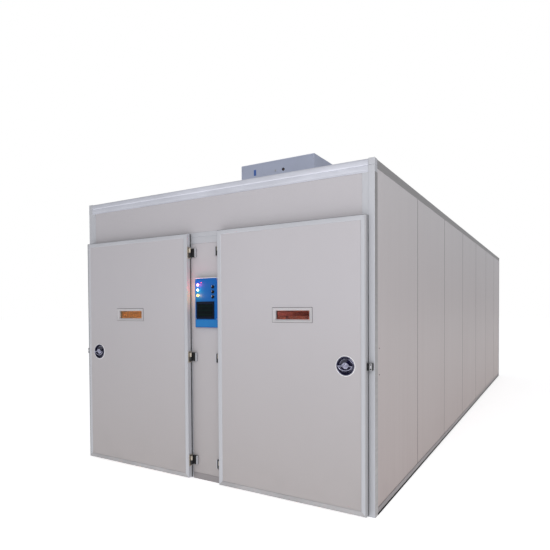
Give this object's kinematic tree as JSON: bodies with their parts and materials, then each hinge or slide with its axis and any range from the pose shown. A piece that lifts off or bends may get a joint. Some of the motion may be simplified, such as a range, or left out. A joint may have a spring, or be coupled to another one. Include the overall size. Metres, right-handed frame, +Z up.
{
  "type": "egg incubator",
  "caption": "Walk-in egg incubator: an insulated cabinet with hinged doors, a control box, a roof vent box and a trolley whose cradles tilt to turn the eggs.",
  "frame": {"origin": "middle of the footprint rectangle on the floor, with the door latches' levers counted in the depth", "axes": "+Z up, the doors face -Y and +Y runs to the rear wall, +X towards the door on the right of a person who faces the doors"},
  "size_m": [2.81, 7.92, 2.9],
  "materials": {
    "panel_skin": "coated sheet skins over a foam core, satin",
    "aluminium_profile": "anodised, satin",
    "dark_hinge_steel": "satin",
    "hinge_plate": "brushed",
    "blue_enclosure": "powder coat",
    "black_plastic": "fine texture",
    "display_glass": "gloss",
    "lamp_lens": "lit lens",
    "vent_sheet": "coated sheet, satin",
    "galvanised_steel": "galvanised",
    "white_plastic": "moulded",
    "rubber": "matte",
    "grey_enamel": "enamel",
    "fan_alloy": "cast",
    "stainless_tube": "heat darkened",
    "copper_tube": "drawn copper",
    "roller_plastic": "moulded",
    "gasket_rubber": "soft foam rubber",
    "window_glass": "clear",
    "dark_latch_cup": "gloss",
    "chrome_lever": "polished",
    "steel_bolt": "turned",
    "wheel_rubber": "tread rubber",
    "cradle_steel": "galvanised"
  },
  "bodies": {
    "cabinet": {"base_channel": "aluminium_profile", "side_wall_panels": "panel_skin", "rear_wall_panels": "panel_skin", "roof_panels": "panel_skin", "front_panels": "panel_skin", "corner_posts": "aluminium_profile", "roof_edge_profiles": "aluminium_profile", "door_frames": "aluminium_profile", "hinge_pillar_leaves": "dark_hinge_steel", "latch_keepers": "dark_hinge_steel", "control_box": "blue_enclosure", "display_bezel": "black_plastic", "display_screen": "display_glass", "indicator_lamps": "lamp_lens", "vent_box": "vent_sheet", "exhaust_spigot": "galvanised_steel", "damper_motor": "white_plastic", "cable_grommet": "rubber", "fan_motors": "grey_enamel", "heater_elements": "stainless_tube", "cooling_coils": "copper_tube", "humidifier_pan": "galvanised_steel", "ceiling_lamps": "white_plastic"},
    "right_door": {"right_door_panel": "panel_skin", "right_door_profile": "aluminium_profile", "right_door_gasket": "gasket_rubber", "right_window_frame": "white_plastic", "right_window_glass": "window_glass", "right_latch_rose": "dark_latch_cup", "right_door_hinges": "hinge_plate"},
    "right_handle": {"right_latch_handle": "chrome_lever"},
    "right_bolt": {"right_latch_bolt": "steel_bolt"},
    "left_door": {"left_door_panel": "panel_skin", "left_door_profile": "aluminium_profile", "left_door_gasket": "gasket_rubber", "left_window_frame": "white_plastic", "left_window_glass": "window_glass", "left_latch_rose": "dark_latch_cup", "left_door_hinges": "hinge_plate"},
    "left_handle": {"left_latch_handle": "chrome_lever"},
    "left_bolt": {"left_latch_bolt": "steel_bolt"},
    "trolley": {"trolley_frame": "galvanised_steel"},
    "trolley_front_wheels": {"trolley_front_wheels": "wheel_rubber"},
    "trolley_rear_wheels": {"trolley_rear_wheels": "wheel_rubber"},
    "turning_link": {"turning_link": "galvanised_steel"},
    "upper_knob": {"upper_knob": "black_plastic"},
    "middle_knob": {"middle_knob": "black_plastic"},
    "lower_knob": {"lower_knob": "black_plastic"},
    "vent_damper": {"vent_damper": "galvanised_steel"},
    "front_fan_rotor": {"front_fan_rotor": "fan_alloy"},
    "rear_fan_rotor": {"rear_fan_rotor": "fan_alloy"},
    "humidifier_roller": {"humidifier_roller": "roller_plastic"},
    "cradle_1": {"egg_cradle_1": "cradle_steel"},
    "cradle_2": {"egg_cradle_2": "cradle_steel"},
    "cradle_3": {"egg_cradle_3": "cradle_steel"},
    "cradle_4": {"egg_cradle_4": "cradle_steel"},
    "cradle_5": {"egg_cradle_5": "cradle_steel"},
    "cradle_6": {"egg_cradle_6": "cradle_steel"},
    "cradle_7": {"egg_cradle_7": "cradle_steel"},
    "cradle_8": {"egg_cradle_8": "cradle_steel"}
  },
  "joints": [
    {"name": "right_door_swing", "type": "hinge", "parent": "cabinet", "child": "right_door", "pos_m": [0.141, -3.923, 1], "axis": [0, 0, -1], "range_deg": [0, 90]},
    {"name": "right_handle_turn", "type": "hinge", "parent": "right_door", "child": "right_handle", "pos_m": [1.217, -3.948, 1.015], "axis": [0, 1, 0], "range_deg": [0, 90]},
    {"name": "right_bolt_slide", "type": "slide", "parent": "right_door", "child": "right_bolt", "axis": [1, 0, 0], "range_m": [0, 0.016]},
    {"name": "left_door_swing", "type": "hinge", "parent": "cabinet", "child": "left_door", "pos_m": [-0.141, -3.923, 1], "axis": [0, 0, 1], "range_deg": [0, 90]},
    {"name": "left_handle_turn", "type": "hinge", "parent": "left_door", "child": "left_handle", "pos_m": [-1.217, -3.948, 1.015], "axis": [0, -1, 0], "range_deg": [0, 90]},
    {"name": "left_bolt_slide", "type": "slide", "parent": "left_door", "child": "left_bolt", "axis": [-1, 0, 0], "range_m": [0, 0.016]},
    {"name": "trolley_roll", "type": "slide", "parent": "cabinet", "child": "trolley", "axis": [0, 1, 0], "range_m": [0, 6.8]},
    {"name": "trolley_front_wheels_spin", "type": "hinge", "parent": "trolley", "child": "trolley_front_wheels", "pos_m": [0.755, -3.63, 0.075], "axis": [-1, 0, 0], "continuous": true},
    {"name": "trolley_rear_wheels_spin", "type": "hinge", "parent": "trolley", "child": "trolley_rear_wheels", "pos_m": [0.755, -3.11, 0.075], "axis": [-1, 0, 0], "continuous": true},
    {"name": "cradle_1_tilt", "type": "hinge", "parent": "trolley", "child": "cradle_1", "pos_m": [0.755, -3.37, 0.37], "axis": [1, 0, 0], "range_deg": [-42, 42]},
    {"name": "cradle_2_tilt", "type": "hinge", "parent": "trolley", "child": "cradle_2", "pos_m": [0.755, -3.37, 0.535], "axis": [1, 0, 0], "range_deg": [-42, 42]},
    {"name": "cradle_3_tilt", "type": "hinge", "parent": "trolley", "child": "cradle_3", "pos_m": [0.755, -3.37, 0.7], "axis": [1, 0, 0], "range_deg": [-42, 42]},
    {"name": "cradle_4_tilt", "type": "hinge", "parent": "trolley", "child": "cradle_4", "pos_m": [0.755, -3.37, 0.865], "axis": [1, 0, 0], "range_deg": [-42, 42]},
    {"name": "cradle_5_tilt", "type": "hinge", "parent": "trolley", "child": "cradle_5", "pos_m": [0.755, -3.37, 1.03], "axis": [1, 0, 0], "range_deg": [-42, 42]},
    {"name": "cradle_6_tilt", "type": "hinge", "parent": "trolley", "child": "cradle_6", "pos_m": [0.755, -3.37, 1.195], "axis": [1, 0, 0], "range_deg": [-42, 42]},
    {"name": "cradle_7_tilt", "type": "hinge", "parent": "trolley", "child": "cradle_7", "pos_m": [0.755, -3.37, 1.36], "axis": [1, 0, 0], "range_deg": [-42, 42]},
    {"name": "cradle_8_tilt", "type": "hinge", "parent": "trolley", "child": "cradle_8", "pos_m": [0.755, -3.37, 1.525], "axis": [1, 0, 0], "range_deg": [-42, 42]},
    {"name": "turning_link_swing", "type": "hinge", "parent": "cradle_5", "child": "turning_link", "pos_m": [1.204, -3.17, 1.03], "axis": [1, 0, 0], "range_deg": [-42, 42]},
    {"name": "upper_knob_turn", "type": "hinge", "parent": "cabinet", "child": "upper_knob", "pos_m": [0.09, -3.92, 1.58], "axis": [0, 1, 0], "range_deg": [-45, 45]},
    {"name": "middle_knob_turn", "type": "hinge", "parent": "cabinet", "child": "middle_knob", "pos_m": [0.09, -3.92, 1.54], "axis": [0, 1, 0], "range_deg": [-45, 45]},
    {"name": "lower_knob_turn", "type": "hinge", "parent": "cabinet", "child": "lower_knob", "pos_m": [0.09, -3.92, 1.5], "axis": [0, 1, 0], "range_deg": [-45, 45]},
    {"name": "vent_damper_turn", "type": "hinge", "parent": "cabinet", "child": "vent_damper", "pos_m": [0, -2.295, 2.65], "axis": [1, 0, 0], "range_deg": [0, 90]},
    {"name": "front_fan_rotor_spin", "type": "hinge", "parent": "cabinet", "child": "front_fan_rotor", "pos_m": [0, -1.29, 2.15], "axis": [0, 0, 1], "continuous": true},
    {"name": "rear_fan_rotor_spin", "type": "hinge", "parent": "cabinet", "child": "rear_fan_rotor", "pos_m": [0, 1.36, 2.15], "axis": [0, 0, 1], "continuous": true},
    {"name": "humidifier_roller_spin", "type": "hinge", "parent": "cabinet", "child": "humidifier_roller", "pos_m": [0, 0.035, 0.13], "axis": [0, 1, 0], "continuous": true}
  ],
  "couplings": [
    {"joint": "right_bolt_slide", "follows": "right_handle_turn", "m_per_rad": 0.010186},
    {"joint": "left_bolt_slide", "follows": "left_handle_turn", "m_per_rad": 0.010186},
    {"joint": "trolley_front_wheels_spin", "follows": "trolley_roll", "rad_per_m": 13.333},
    {"joint": "trolley_rear_wheels_spin", "follows": "trolley_roll", "rad_per_m": 13.333},
    {"joint": "cradle_1_tilt", "follows": "cradle_5_tilt", "ratio": 1},
    {"joint": "cradle_2_tilt", "follows": "cradle_5_tilt", "ratio": 1},
    {"joint": "cradle_3_tilt", "follows": "cradle_5_tilt", "ratio": 1},
    {"joint": "cradle_4_tilt", "follows": "cradle_5_tilt", "ratio": 1},
    {"joint": "cradle_6_tilt", "follows": "cradle_5_tilt", "ratio": 1},
    {"joint": "cradle_7_tilt", "follows": "cradle_5_tilt", "ratio": 1},
    {"joint": "cradle_8_tilt", "follows": "cradle_5_tilt", "ratio": 1},
    {"joint": "turning_link_swing", "follows": "cradle_5_tilt", "ratio": -1}
  ]
}
